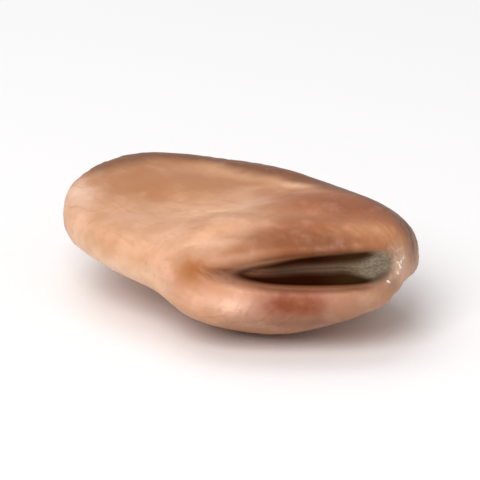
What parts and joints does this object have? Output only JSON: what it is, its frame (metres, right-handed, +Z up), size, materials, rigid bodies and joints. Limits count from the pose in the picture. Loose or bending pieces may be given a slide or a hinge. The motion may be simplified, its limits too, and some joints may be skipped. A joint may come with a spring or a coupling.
{
  "type": "dried broad bean",
  "caption": "Large flat dried bean seed lying on a broad face, thick at the end with its long dark scar, thin and curled up at the other.",
  "frame": {"origin": "on the surface the seed lies on, under the middle of its box seen from above", "axes": "+X along the seed towards the thick end that carries the scar, +Y towards its rounded back, +Z up, square to the surface it lies on"},
  "size_m": [0.025, 0.0172, 0.008],
  "materials": {
    "seed_coat": "satin"
  },
  "bodies": {
    "root": {"broad_bean": "seed_coat"}
  },
  "joints": []
}
